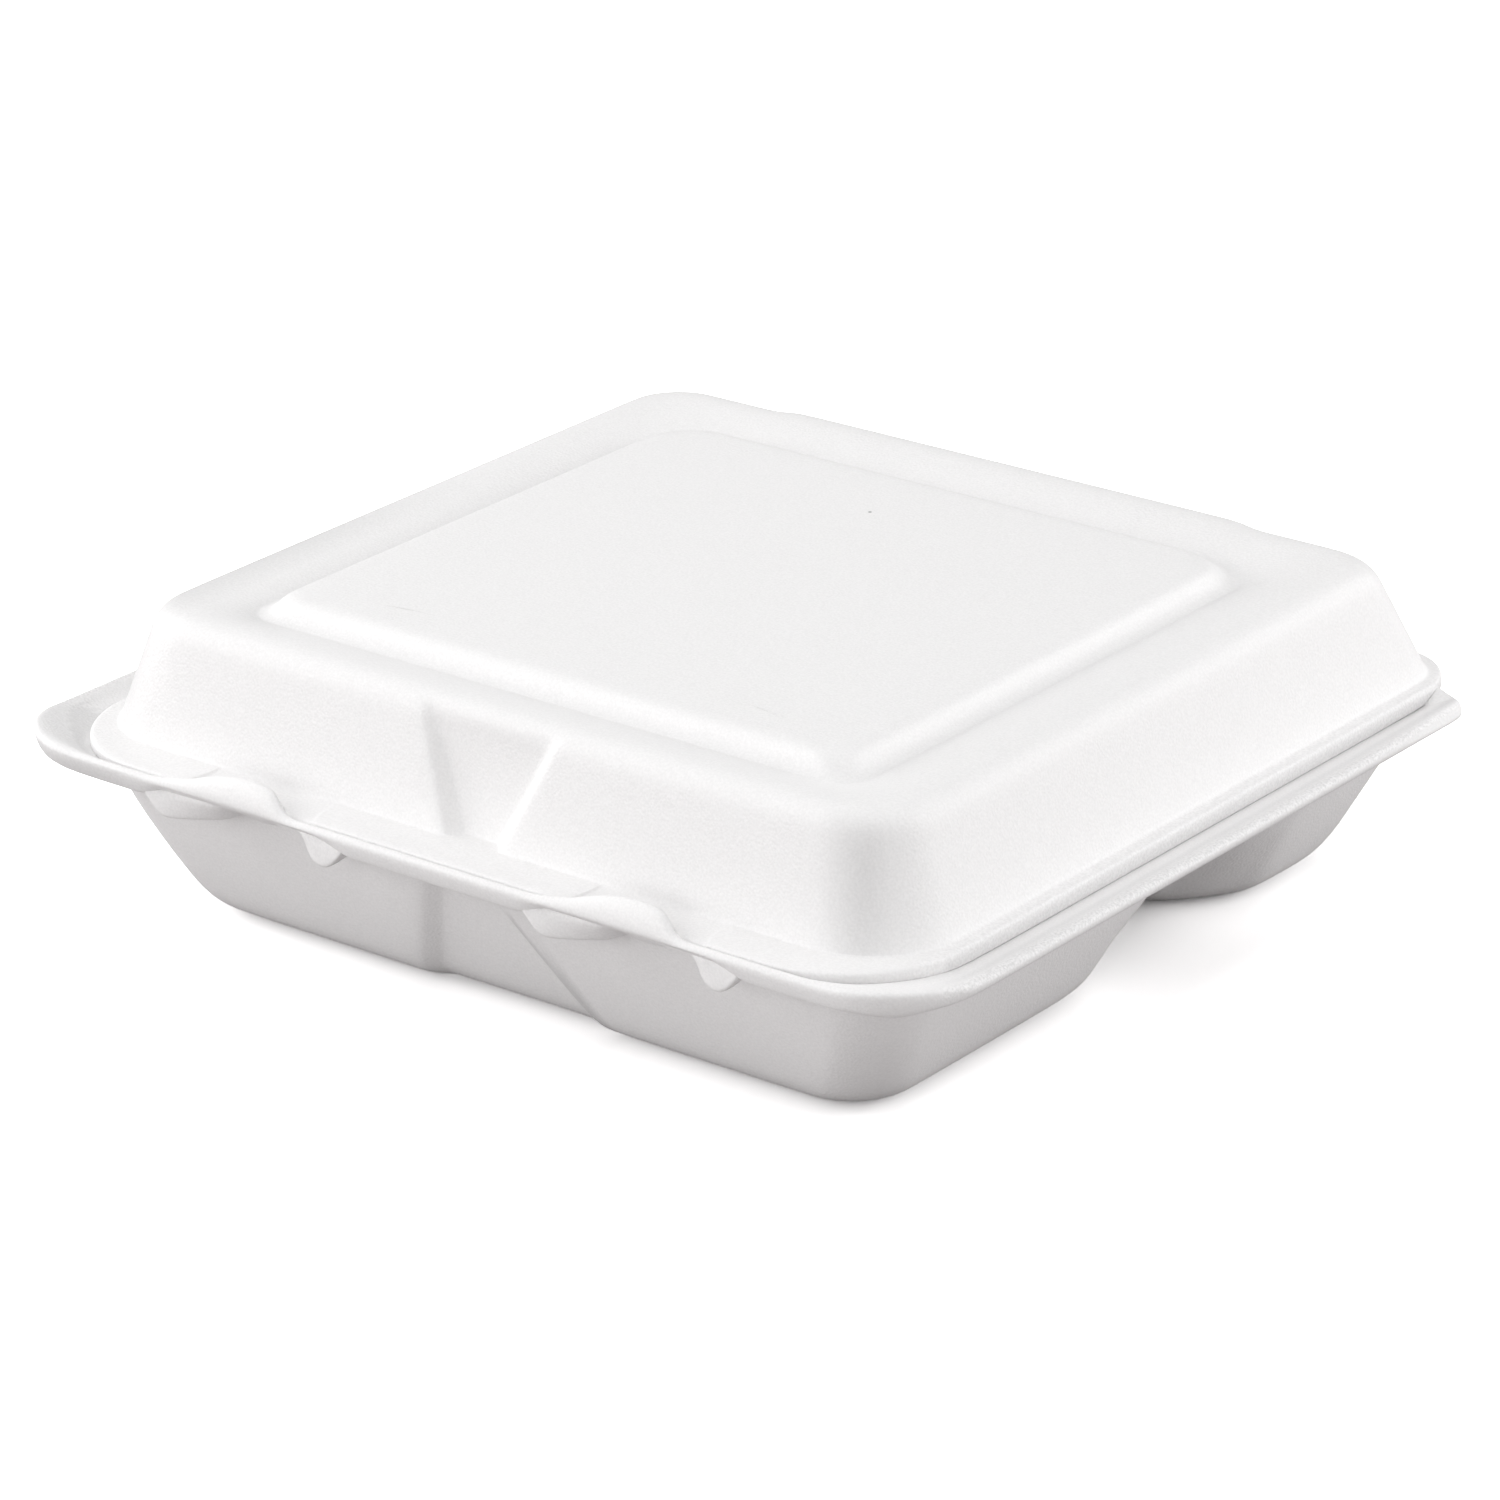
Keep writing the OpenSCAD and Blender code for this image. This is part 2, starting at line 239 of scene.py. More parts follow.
# Heights of the rings on the wall, and heights and insets of those on the round at its foot
wall_levels = (divider_h, 7.5)
foot_line = ((4.2, 0.6), (2.5, 2.4), (sheet, 5.0))
shelf_round = 1.6
tray_cuts = (-45.0, -22.0)
tray_corner = 10.5
back_taper = ((42.0, 0.3), (54.0, 0.8), (64.0, 1.4), (69.9, 1.8))
back_tip = (99.6, 71.2)
back_notch = (89.2, 77.8)
back_shares = (0.0, 0.08, 0.35, 0.65, 0.92, 1.0, 1.35, 1.7)
hinge_half = 79.5
rim_corner = 17.5
corner_drop = 1.75
corner_tuck = 0.8
corner_lift = 0.9
corner_lift_shares = (0.0, 0.3, 0.7, 1.0, 1.0, 1.0, 1.0, 1.0, 0.7, 0.6, 0.0)
# Lip from its lower edge in to the shelf: insets at the sides, front and back, rise at the sides and
# the front, and radius of the front corners
lip_line = (
    (1.2, 1.7, 0.0, -2.9, -4.0, 16.5),
    (0.3, 1.2, 0.2, -2.0, -3.2, 17.2),
    (0.0, 0.75, 0.5, -1.1, -2.1, 17.5),
    (0.4, 0.35, 0.8, -0.3, -0.9, 17.2),
    (1.1, 0.45, 1.1, 0.0, -0.1, 16.8),
    (2.0, 1.0, 1.5, -0.08, 0.35, 16.4),
    (4.8, 1.93, 1.9, -1.25, 0.45, 18.0),
    (8.2, 2.0, 2.3, -2.5, -1.2, 22.0),
    (8.95, 2.03, 2.5, -2.68, -1.6, 23.0),
    (11.2, 2.6, 2.7, -2.78, -1.7, 24.0),
    (12.0, 3.0, 2.9, -1.75, -1.7, 24.6),
)
# Painted shade along the sides, on the flange's edge and in the rim's gutter: by the distance from the edge
# of the flange, by the depth below its top, and by the distance from the edge of the rim; then how strong
# that is at each side
side_shade = {
    "lid_top": ((0.0, 0.05), (0.9, 0.04), (1.5, 0.0)),
    "lid_edge": ((0.3, 0.0), (1.0, 0.02), (1.5, 0.05)),
    "rim": ((0.0, 0.03), (0.5, 0.1), (1.2, 0.09), (2.2, 0.05), (3.5, 0.09), (4.5, 0.07), (5.5, 0.0)),
}
side_painted_shade = {-1: 0.35, 1: 1.0}
lid_grit = 0.35
# Painted shade on the lid's walls, at the left end and in a stripe down the front right corner: how dark
# each is, the turn round the corner where the stripe lies, how wide it is and how it fades below the ridge
corner_painted_shade = {-1: 0.19, 1: 0.1}
corner_aim = 28.0
corner_reach = 16.0
corner_fall = 7.0
# Left end of the lid: where its painted shade starts and how fast it comes, and the same towards the back
end_start = 72.0
end_run = 10.0
end_back = 10.0
end_fade = 40.0
# Left corner of the lip: how dark its painted shade is, from where, how fast it comes and how deep and far
# back it goes
lip_painted_shade = 0.1
lip_start = 60.0
lip_run = 15.0
lip_deep = 5.0
lip_back = 20.0
# Painted shade line along the right flank of the tray's grip recess, where its corner lies in shade
line_painted_shade = 0.25
line_side = 0.5
line_fade = 0.3
# Gutter and edge of the rim, where the painted shade lies: how deep and how far in it reaches, and how it
# fades to the front
gutter_deep = 1.5
gutter_in = 3.0
gutter_front = 8.0
gutter_run = 12.0
# Rubbed skin: width at the edge of the lid's flange and of the rim, and its height on the rim
lid_rub = 3.2
rim_rub = 2.6
rub_low = 0.9
# Front of the lip where the sheet is pressed thin, and the part of its thickness left there
thin_back = 5.0
thin_low = 6.0
lip_thin = 0.4
web_thick = 0.5
web_turn = 0.3
corner_steps = 8


def edit_mesh():
    """The mesh that is open in edit mode."""
    return bmesh.from_edit_mesh(bpy.context.edit_object.data)


def place_of(part):
    """Middle of a vertex, edge or face, in millimetres."""
    if isinstance(part, bmesh.types.BMVert):
        return part.co / MM
    if isinstance(part, bmesh.types.BMEdge):
        return (part.verts[0].co + part.verts[1].co) / 2 / MM
    return part.calc_center_median() / MM


def pick(test, kind="VERT"):
    """Selects the vertices, edges or faces whose middle passes the test, and says how many."""
    bpy.ops.mesh.select_mode(type=kind)
    bpy.ops.mesh.select_all(action="DESELECT")
    mesh = edit_mesh()
    parts = {"VERT": mesh.verts, "EDGE": mesh.edges, "FACE": mesh.faces}[kind]
    found = [part for part in parts if test(place_of(part))]
    for part in found:
        part.select_set(True)
    mesh.select_flush_mode()
    bmesh.update_edit_mesh(bpy.context.edit_object.data)
    return len(found)


def shift(x=0.0, y=0.0, z=0.0):
    """Moves what is selected."""
    bpy.ops.transform.translate(value=(x * MM, y * MM, z * MM))


def stretch(x, y, z, about):
    """Scales what is selected about a point."""
    bpy.ops.transform.resize(value=(x, y, z), center_override=tuple(c * MM for c in about))


def cut(axis, at, test=None):
    """Cuts the mesh, or the faces that pass the test, along a plane across an axis."""
    if pick(test or (lambda p: True), "FACE"):
        normal = [1.0 if axis == name else 0.0 for name in "xyz"]
        bpy.ops.mesh.bisect(plane_co=[n * at * MM for n in normal], plane_no=normal)


def selected():
    """The selected vertices, in millimetres, with their numbers."""
    return [(v.index, v.co / MM) for v in edit_mesh().verts if v.select]


def fit_ring(half, front, back, radii, z, old_radii):
    """Brings the selected ring to a size, a height and a radius for its front and back corners."""
    ring = selected()
    numbers = {n for n, _ in ring}
    xs = [p.x for _, p in ring]
    ys = [p.y for _, p in ring]
    grow_x = half / max(xs)
    grow_y = (back - front) / (max(ys) - min(ys))
    centre_y = (max(ys) + min(ys)) / 2
    stretch(grow_x, grow_y, 1, (0, centre_y, 0))
    shift(y=(front + back) / 2 - centre_y, z=z - ring[0][1].z)
    middle_y = (front + back) / 2
    for side in SIDES:
        for end, y, radius, old in ((-1, front, radii[0], old_radii[0]), (1, back, radii[1], old_radii[1])):
            at_end = lambda v: v.co.x * side > 0 and (v.co.y / MM - middle_y) * end > 0
            choose(lambda v: v.index in numbers and at_end(v))
            stretch(radius / (old * grow_x), radius / (old * grow_y), 1, (side * half, y, z))
    choose(lambda v: v.index in numbers)


def choose(test):
    """Selects vertices by a test on the vertex itself."""
    bpy.ops.mesh.select_mode(type="VERT")
    bpy.ops.mesh.select_all(action="DESELECT")
    mesh = edit_mesh()
    for vert in mesh.verts:
        vert.select_set(bool(test(vert)))
    mesh.select_flush_mode()
    bmesh.update_edit_mesh(bpy.context.edit_object.data)


def open_piece(name):
    """Names the new primitive and opens it in edit mode with all of it selected."""
    piece = bpy.context.object
    piece.name = name
    bpy.ops.object.mode_set(mode="EDIT")
    bpy.ops.mesh.select_all(action="SELECT")
    return piece


def set_in_place():
    """Moves a finished piece back from the middle of the lid to its place in the frame."""
    bpy.ops.transform.translate(value=(0, middle * MM, 0))
    bpy.ops.object.transform_apply(location=True, rotation=True, scale=True)


def soften(piece, levels):
    """Rounds a piece by subdivision and sets it in its place."""
    smooth = piece.modifiers.new("Soft", "SUBSURF")
    smooth.levels = levels
    smooth.render_levels = levels
    bpy.ops.object.modifier_apply(modifier=smooth.name)
    bpy.ops.object.shade_smooth()
    set_in_place()


def rings(name, rows):
    """Draws a sheet as rings of edges from its rim inwards, and closes the last one with a face."""
    half, front, back, radii, z = rows[0]
    bpy.ops.object.select_all(action="DESELECT")
    bpy.ops.mesh.primitive_plane_add(size=2)
    piece = open_piece(name)
    stretch(half * MM, (back - front) / 2 * MM, 1, (0, 0, 0))
    shift(y=(front + back) / 2, z=z)
    bpy.ops.mesh.bevel(offset=radii[0] * MM, segments=corner_steps, affect="VERTICES", profile=0.5)
    bpy.ops.mesh.delete(type="ONLY_FACE")
    bpy.ops.mesh.select_all(action="SELECT")
    fit_ring(*rows[0], (radii[0], radii[0]))
    for row in rows[1:]:
        bpy.ops.mesh.select_mode(type="EDGE")
        bpy.ops.mesh.extrude_edges_move()
        fit_ring(*row, radii)
        radii = row[3]
    bpy.ops.mesh.edge_face_add()
    return piece


def finish_sheet(piece, levels, thin=None):
    """Turns the open skin into a sheet of foam, thin where a test says so, and sets it in its place."""
    if thin:
        pick(thin)
        bpy.ops.object.vertex_group_add()
        bpy.ops.object.vertex_group_assign()
    bpy.ops.mesh.select_all(action="SELECT")
    bpy.ops.mesh.remove_doubles(threshold=0.05 * MM)
    bpy.ops.mesh.normals_make_consistent(inside=False)
    mesh = edit_mesh()
    top = max(mesh.faces, key=lambda f: f.calc_area())
    if top.normal.z < 0:
        bpy.ops.mesh.flip_normals()
    bpy.ops.object.mode_set(mode="OBJECT")
    solid = piece.modifiers.new("Sheet", "SOLIDIFY")
    solid.thickness = sheet * MM
    solid.offset = -1
    solid.use_quality_normals = True
    if thin:
        solid.vertex_group = piece.vertex_groups[0].name
        solid.invert_vertex_group = True
        solid.thickness_vertex_group = lip_thin
    bpy.ops.object.modifier_apply(modifier=solid.name)
    soften(piece, levels)


def mark_skin(piece, name, test):
    """Marks a piece by a test on the place: where its skin is rubbed open, or where shade is painted on it.
    """
    marks = piece.data.attributes.new(name, "FLOAT", "POINT")
    for vert, mark in zip(piece.data.vertices, marks.data):
        place = vert.co / MM - Vector((0, middle, 0))
        mark.value = part_of(test(place), 1)


def part_of(length, whole):
    """How much of a length is covered, from none to all."""
    return min(1.0, max(0.0, length / whole))


def mix(a, b, share):
    """A value between two others."""
    return a + (b - a) * share


def lid_profile():
    """Insets from the foot of the wall, heights above the flange and corner radii, going in and up."""
    lean = math.atan2(ridge_in - ridge_round, ridge_h - ridge_round)
    wall_in = ridge_in - ridge_round * math.cos(lean)
    wall_top = ridge_h - ridge_round + ridge_round * math.sin(lean)
    rows = [(-crease, 0.0, foot_corner + crease), (-crease / 4, 0.0, foot_corner)]
    for share in wall_shares:
        radius = mix(foot_corner, ridge_corner + corner_ease, share)
        rows.append((wall_in * share, wall_top * share, radius))
    for angle in (math.degrees(lean), *ridge_angles):
        a = math.radians(angle)
        inset = ridge_in - ridge_round * math.cos(a)
        height = ridge_h - ridge_round * (1 - math.sin(a))
        rows.append((inset, height, ridge_corner + corner_ease * math.cos(a)))
    for share, fall in ridge_fall:
        radius = mix(ridge_corner, groove_corner, share)
        rows.append((mix(ridge_in, groove_in, share), mix(ridge_h, groove_h, fall), radius))
    for step, share in panel_line:
        rows.append((groove_in + step, mix(groove_h, panel_h, share), panel_corner))
    return rows


def back_radius(radius):
    """Radius of the back corners, which are tighter than the front ones at the foot of the walls."""
    share = part_of(radius - ridge_corner, foot_corner - ridge_corner)
    return mix(back_ridge_corner, back_foot_corner, share)


def make_lid():
    """Lid: flange with two slots, leaning walls with a grip recess, ridge, groove and raised panel."""
    outer = (lid_half + flange_side, -lid_half_depth - flange_front, back_edge)
    rows = []
    for z in (flange_low, flange_low + 0.3, flange_top - 0.4):
        rows.append((*outer, (flange_corner, back_corner), z))
    rows.append((
        outer[0] - edge_round,
        outer[1] + edge_round,
        outer[2] - 0.3,
        (flange_corner - edge_round, back_corner - edge_round),
        flange_top - same,
    ))
    for inset, height, radius in lid_profile():
        rows.append((
            lid_half - inset,
            -lid_half_depth + inset * front_share,
            lid_half_depth - inset * back_share,
            (radius, back_radius(radius)),
            flange_top + height,
        ))
    piece = rings("foam_lid", rows)
    at_front = lambda p: p.y < -58 and abs(p.x) < lid_half - foot_corner
    at_back = lambda p: p.y > 50 and abs(p.x) < lid_half - foot_corner
    grip_end = grip_half + grip_step
    slot_lines = [end * (slot_half + step) for end in SIDES for step in slot_edges]
    for side in SIDES:
        for x in (grip_half - grip_edge, grip_half, grip_end, grip_end + grip_edge):
            cut("x", grip_x + side * x, at_front)
        for step in (*slot_lines, *slot_open):
            cut("x", side * lock_x + step, at_front)
        for x in lid_back_cuts:
            cut("x", side * x, at_back)
    for y in lid_cuts:
        cut("y", y)
    cut("y", slot_front, at_front)

    press_lid_grip()
    shape_slots()
    pick(lambda p: p.y > 60 and p.z > flange_top + 3 and abs(p.x) < bulge_half)
    shift(y=bulge[0], z=bulge[1])
    turn_edge(outer)
    finish_sheet(piece, 2)
    on_flange = lambda p: p.z < flange_top + 0.2
    mark_skin(piece, "grit", lambda p: lid_grit * part_of(abs(p.x) - outer[0] + lid_rub, 1) * on_flange(p))
    # Painted shade on the flange's sides and on the walls at the front right corner and the left end
    mark_skin(piece, "shade", lid_shade)
    return piece


def press_lid_grip():
    """Presses the grip recess into the lid's front wall, narrow at the flange and wide below the ridge."""
    wall_back_end = -lid_half_depth + ridge_in * front_share + 0.5
    wall_heights = [h for inset, h, _ in lid_profile() if h > 0 and inset <= ridge_in]
    for h in wall_heights:
        level = lambda p: abs(p.z - flange_top - h) < same and p.y < wall_back_end
        spread = grip_spread * h / ridge_h
        for side in SIDES:
            pick(lambda p: level(p) and 0 < (p.x - grip_x) * side < grip_half + grip_step + 2)
            shift(x=side * spread)
        pick(lambda p: level(p) and abs(p.x - grip_x) < grip_half + spread + near)
        shift(y=grip_depth * part_of(ridge_h - h, ridge_h * grip_fade))
    at_foot = lambda p: p.z < flange_top + near and -lid_half_depth - crease - 0.2 < p.y < 0
    pick(lambda p: at_foot(p) and abs(p.x - grip_x) < grip_half + near)
    shift(y=grip_depth)


def lid_shade(p):
    """Painted shade at the front right corner and the left end of the walls, and at the flange's sides."""
    if p.z > flange_top + 0.3:
        right = Vector((p.x - lid_half + foot_corner, foot_corner - lid_half_depth - p.y))
        if min(right) > 0:
            off = math.degrees(math.atan2(right.x, right.y)) - corner_aim
            stripe = corner_painted_shade[1] * math.exp(-(off / corner_reach) ** 2)
            return stripe * part_of(flange_top + ridge_h - p.z, corner_fall)
        end = corner_painted_shade[-1] * part_of(-p.x - end_start, end_run)
        return end * part_of(end_back - p.y, end_fade)
    if p.y < -lid_half_depth + 10:
        return 0.0
    top = along(side_shade["lid_top"], lid_high.x - abs(p.x))
    edge = along(side_shade["lid_edge"], flange_top - p.z)
    return (top + edge) * side_painted_shade[1 if p.x > 0 else -1]


def tray_shade(p):
    """Painted shade beside the grip, on the left corner of the lip and along the sides of the rim."""
    if p.y < -60 and p.x > 0 and p.z < divider_h:
        grip, reach, flank = tray_grip[1]
        off = p.x - grip - reach * (1 - p.z / wall_h) - flank / 2
        return line_painted_shade * part_of(flank + line_side - abs(off), line_fade)
    if p.y < rim_front + lip_back and p.x < -lip_start and p.z < lip_top - 0.3:
        return lip_painted_shade * part_of(-p.x - lip_start, lip_run) * part_of(p.z - shelf_top + lip_deep, 1)
    if p.z < shelf_top - gutter_deep or abs(p.x) < lid_high.x - gutter_in:
        return 0.0
    fade = part_of(p.y - rim_front - gutter_front, gutter_run)
    return along(side_shade["rim"], rim_half - abs(p.x)) * fade * side_painted_shade[1 if p.x > 0 else -1]


def turn_edge(outer):
    """Turns the edge of the flange down along both sides, where it stands in the gutter of the rim."""
    half, front, back = outer
    for side in SIDES:
        low_edge = lambda p: flange_low - same < p.z < flange_low + 0.35 and p.x * side > 0
        pick(lambda p: low_edge(p) and p.x * side > half - 0.2 and p.y < back - back_corner + 0.2)
        shift(z=-edge_turn)
        for step in range(1, corner_steps):
            turn = math.radians(90 * step / corner_steps)
            for y, radius, end in ((front, flange_corner, -1), (back, back_corner, 1)):
                at = (half - radius * (1 - math.cos(turn)), y - end * radius * (1 - math.sin(turn)))
                pick(lambda p: low_edge(p) and abs(p.x * side - at[0]) < near and abs(p.y - at[1]) < near)
                shift(z=-edge_turn * (1 - step / corner_steps) ** edge_ease)


def shape_slots():
    """Opens the flange where the tongues stand, lowers it along each slot and flares the ends."""
    on_flange = lambda p: p.z < flange_top + near and p.y < -lid_half_depth - crease * front_share
    on_top = lambda p: on_flange(p) and p.z > flange_low + 0.4
    for side in SIDES:
        step_of = lambda p: p.x - side * lock_x
        in_slot = lambda p: p.y < slot_front and slot_open[0] < step_of(p) < slot_open[1]
        pick(lambda p: on_flange(p) and in_slot(p), "FACE")
        bpy.ops.mesh.delete(type="FACE")
        pick(lambda p: on_top(p) and abs(step_of(p)) < slot_half - 0.3)
        shift(z=-slot_drop)
        pick(lambda p: on_flange(p) and p.y < slot_front - 2 and abs(step_of(p) - slot_open[1]) < 0.2)
        shift(y=slot_tuck)
        for end in SIDES:
            pick(lambda p: on_flange(p) and p.y < slot_front and abs(step_of(p) - end * slot_half) < 1.0)
            shift(x=end * slot_flare)


def wall_at(z):
    """Half width, front and back of the tray's inner face at a height."""
    share = z / wall_h
    return (
        mix(floor_half, wall_half, share) - wall_level,
        -mix(floor_front, wall_front, share) + wall_level,
        mix(floor_back, wall_back, share) - wall_level,
    )


def tray_rows():
    """Rings of the tray's upper face, from the edge of the rim in to the floor."""
    rows = []
    for side_in, front_in, back_in, rise, _, corner in lip_line:
        radii = (corner, back_edge - back_in - back_tip[1])
        rows.append((rim_half - side_in, rim_front + front_in, back_edge - back_in, radii, lip_top + rise))
    half, front, back = wall_at(wall_h)
    rows += [
        (half + 0.6, front - 1.6, back + 0.8, (17.0, 14.0), shelf_top),
        (half + 0.3, front - 0.7, back + 0.5, (16.5, 13.5), shelf_top - 0.35),
        (half, front, back, (16.0, 13.0), shelf_top - shelf_round),
    ]
    for z in wall_levels:
        half, front, back = wall_at(z)
        rows.append((half, front, back, (tray_corner, tray_corner), z))
    for z, inset in foot_line:
        half, front, back = wall_at(z)
        rows.append((half - inset, front + inset, back - inset, (tray_corner, tray_corner), z))
    return rows


def make_tray():
    """Tray: lip, shelf, tongues, leaning walls with a grip recess and three compartments."""
    rows = tray_rows()
    piece = rings("foam_tray", rows)
    at_front = lambda p: p.y < -60 and abs(p.x) < rim_half - 18
    at_rear = lambda p: p.y > divider_y + divider_top
    at_lip = lambda p: at_front(p) and p.z > shelf_top - 1.0
    for side in SIDES:
        grip, _, flank = tray_grip[side]
        for x in (grip - grip_edge, grip, grip + flank, grip + flank + grip_edge):
            cut("x", side * x, at_front)
        for step in lock_steps:
            cut("x", side * lock_x + step, at_lip)
        for y in (divider_top, *[cross_foot[side] + step for step, _ in mouth_line[side]]):
            cut("y", divider_y + side * y)
        for x in (divider_foot, divider_top):
            cut("x", side * x, at_rear)
    for y in (*tray_cuts, *[y for y, _ in back_taper]):
        cut("y", y)

    raise_dividers()
    shape_back(rows)
    shape_corners(rows)
    level_front(rows)
    shape_locks(rows)
    shape_tray_grip()
    finish_sheet(piece, 2, lambda p: p.y < rim_front + thin_back and p.z > lip_top - thin_low)
    mark_skin(piece, "grit", lambda p: (abs(p.x) - rim_half + rim_rub) * (p.z > lip_top - rub_low))
    # Painted shade beside the grip, on the lip's left corner and in the gutter along the sides
    mark_skin(piece, "shade", tray_shade)
    return piece


def raise_dividers():
    """Lifts the floor into a cross divider and a divider between the rear compartments."""
    half, front, back = wall_at(divider_h)
    low = lambda p: p.z < divider_h - 4
    on_cross = lambda p: low(p) and abs(p.y - divider_y) < divider_top + near
    on_rear = lambda p: low(p) and abs(p.x) < divider_top + near
    for side in SIDES:
        pick(lambda p: on_cross(p) and p.x * side > 60)
        stretch(0, 1, 0, (side * half, 0, divider_h))
        for end in SIDES:
            for step, pull in mouth_line[end]:
                y = divider_y + end * (cross_foot[end] + step)
                pick(lambda p: low(p) and abs(p.y - y) < near and p.x * side > 60)
                shift(x=-side * pull)
        pick(lambda p: low(p) and abs(p.x - side * divider_foot) < near and p.y > 55)
        shift(y=-divider_end)
    pick(lambda p: on_rear(p) and p.y > 55)
    stretch(1, 0, 0, (0, back, divider_h))
    pick(lambda p: on_cross(p) and abs(p.x) <= 60)
    stretch(1, 1, 0, (0, 0, divider_h))
    pick(lambda p: on_rear(p) and divider_y < p.y <= 60)
    stretch(1, 1, 0, (0, 0, divider_h))
    bpy.ops.mesh.select_all(action="SELECT")
    bpy.ops.mesh.remove_doubles(threshold=0.2 * MM)


def shape_back(rows):
    """Draws the rim in towards the back, cuts its corners off and lowers the lip there to the shelf."""
    for side in SIDES:
        for y, pull in back_taper:
            pick(lambda p: abs(p.y - y) < near and p.x * side > lid_high.x and p.z > shelf_top - 0.2)
            shift(x=-side * pull)
    for row in range(len(lip_line)):
        half, front, back, radii, z = rows[row]
        inset = rim_half - half
        tip = (back_tip[0] - inset * 0.85, back_tip[1] - inset * 0.1)
        notch = (back_notch[0] - inset * 0.15, back_notch[1] - inset * 0.5)
        end = (hinge_half, back)
        on_ring = lambda p: abs(p.z - z) < same
        pick(lambda p: on_ring(p) and p.y > back - same and abs(p.x) < half - radii[1] + same)
        stretch(hinge_half / (half - radii[1]), 1, 0, (0, 0, shelf_top))
        for step in range(corner_steps):
            share = step / corner_steps
            turn = math.radians(90 * share)
            x = half - radii[1] * (1 - math.cos(turn))
            y = back - radii[1] * (1 - math.sin(turn))
            part = back_shares[step]
            line = (tip, notch) if part <= 1 else (notch, end)
            to = [mix(a, b, part if part <= 1 else part - 1) for a, b in zip(*line)]
            for side in SIDES:
                pick(lambda p: on_ring(p) and abs(p.x - side * x) < near and abs(p.y - y) < near)
                shift(side * (to[0] - x), to[1] - y, (shelf_top - z) * share)


def shape_corners(rows):
    """Turns the edge of the rim down round the front corners."""
    centre = (rim_half - rim_corner, rim_front + rim_corner)
    for side in SIDES:
        for step in range(1, corner_steps):
            turn = math.radians(90 * step / corner_steps)
            share = math.sin(2 * turn) ** (0.7 if step < corner_steps / 2 else 1.6)
            at = (math.sin(turn), -math.cos(turn))

            def on_ray(p):
                off = Vector((p.x * side - centre[0], p.y - centre[1]))
                at_edge = abs(p.z - rows[0][4]) < near
                return at_edge and off.length > 10 and abs(off.cross(at)) < 0.4 and off.dot(at) > 0

            pick(on_ray)
            shift(-side * at[0] * corner_tuck * share, -at[1] * corner_tuck * share, -corner_drop * share)


def level_front(rows):
    """Brings the lip along the front up to the lid's flange, and lifts its edge round the corners."""
    for row, line in enumerate(lip_line):
        half, front, back, radii, z = rows[row]
        lift = line[4] - line[3]
        on_ring = lambda p: abs(p.z - z) < same and p.y < 0
        pick(lambda p: on_ring(p) and abs(p.y - front) < 0.02 and abs(p.x) < half - radii[0] + near)
        shift(z=lift)
        for step in range(1, corner_steps):
            turn = math.radians(90 * step / corner_steps)
            at = (half - radii[0] * (1 - math.sin(turn)), front + radii[0] * (1 - math.cos(turn)))
            pick(lambda p: on_ring(p) and abs(abs(p.x) - at[0]) < near and abs(p.y - at[1]) < near)
            rise = corner_lift * corner_lift_shares[row] * math.sin(2 * turn) ** 0.7
            shift(z=lift * (1 - step / corner_steps) + rise)


def along(points, at):
    """Value at a place on a line drawn through points."""
    if at <= points[0][0]:
        return points[0][1]
    for (x0, y0), (x1, y1) in zip(points, points[1:]):
        if at <= x1:
            return mix(y0, y1, (at - x0) / (x1 - x0))
    return points[-1][1]


def shape_locks(rows):
    """Raises a tongue on the front lip at each lock and lowers the shelf behind it."""
    for side in SIDES:
        for step in lock_steps:
            x = side * lock_x + step
            rise = along(tongue_line, step)
            column = []
            for row in range(len(lip_line) + 1):
                front = rows[row][1]
                z = lip_top + lip_line[row][4] if row < len(lip_line) else rows[row][4]
                at = Vector((x, front, z)) * MM
                choose(lambda v: (v.co - at).length < 0.12 * MM)
                column.append([n for n, _ in selected()])
            for row, numbers in enumerate(column):
                choose(lambda v: v.index in numbers)
                back, up = tongue_lean.get(row, (0, 0))
                behind = row >= len(lip_line) - 2 and well_reach[0] < step < well_reach[1]
                down = well_drop if behind else 0
                lift = along(lip_rise, step) * lip_rise_shares[row] if row < len(lip_rise_shares) else 0
                shift(y=back * rise, z=up * rise + lift - down)


def make_gusset(side):
    """Rounded pouch that carries a tongue: boxy at its ends and sloping to the wall in the middle."""
    bpy.ops.object.select_all(action="DESELECT")
    bpy.ops.mesh.primitive_circle_add(vertices=8, radius=MM, fill_type="NGON")
    piece = open_piece("foam_gusset_left" if side < 0 else "foam_gusset_right")
    ring = selected()
    for number, (step, *shape) in enumerate(gusset_line):
        if number > 0:
            bpy.ops.mesh.select_mode(type="FACE")
            bpy.ops.mesh.extrude_region_move()
            new = selected()
            ring = [min(new, key=lambda item: (item[1] - old).length) for _, old in ring]
        places = [Vector((side * lock_x + step, y, z)) for y, z in gusset_profile(*shape)]
        for (index, old), to in zip(ring, places):
            choose(lambda v: v.index == index)
            shift(*(to - old))
        ring = [(index, to) for (index, _), to in zip(ring, places)]
        choose(lambda v: v.index in {index for index, _ in ring})
    bpy.ops.mesh.select_all(action="SELECT")
    bpy.ops.mesh.normals_make_consistent(inside=False)
    bpy.ops.object.mode_set(mode="OBJECT")
    soften(piece, 2)
    return piece


def gusset_profile(front, low, wall):
    """Outline of a gusset across the front wall, from the lip down and in to the wall."""
    top = lip_top - gusset_top
    lip = rim_front + gusset_lip
    return [
        (lip, top),
        (mix(lip, front, 0.45), mix(top, low, 0.5)),
        (front, low + 0.5),
        (front + 0.6, low),
        (mix(front, wall, 0.6), low + 0.5),
        (wall, low + 0.9),
        (wall + 1.2, low + 1.6),
        (wall + 1.2, top - 1.2),
    ]


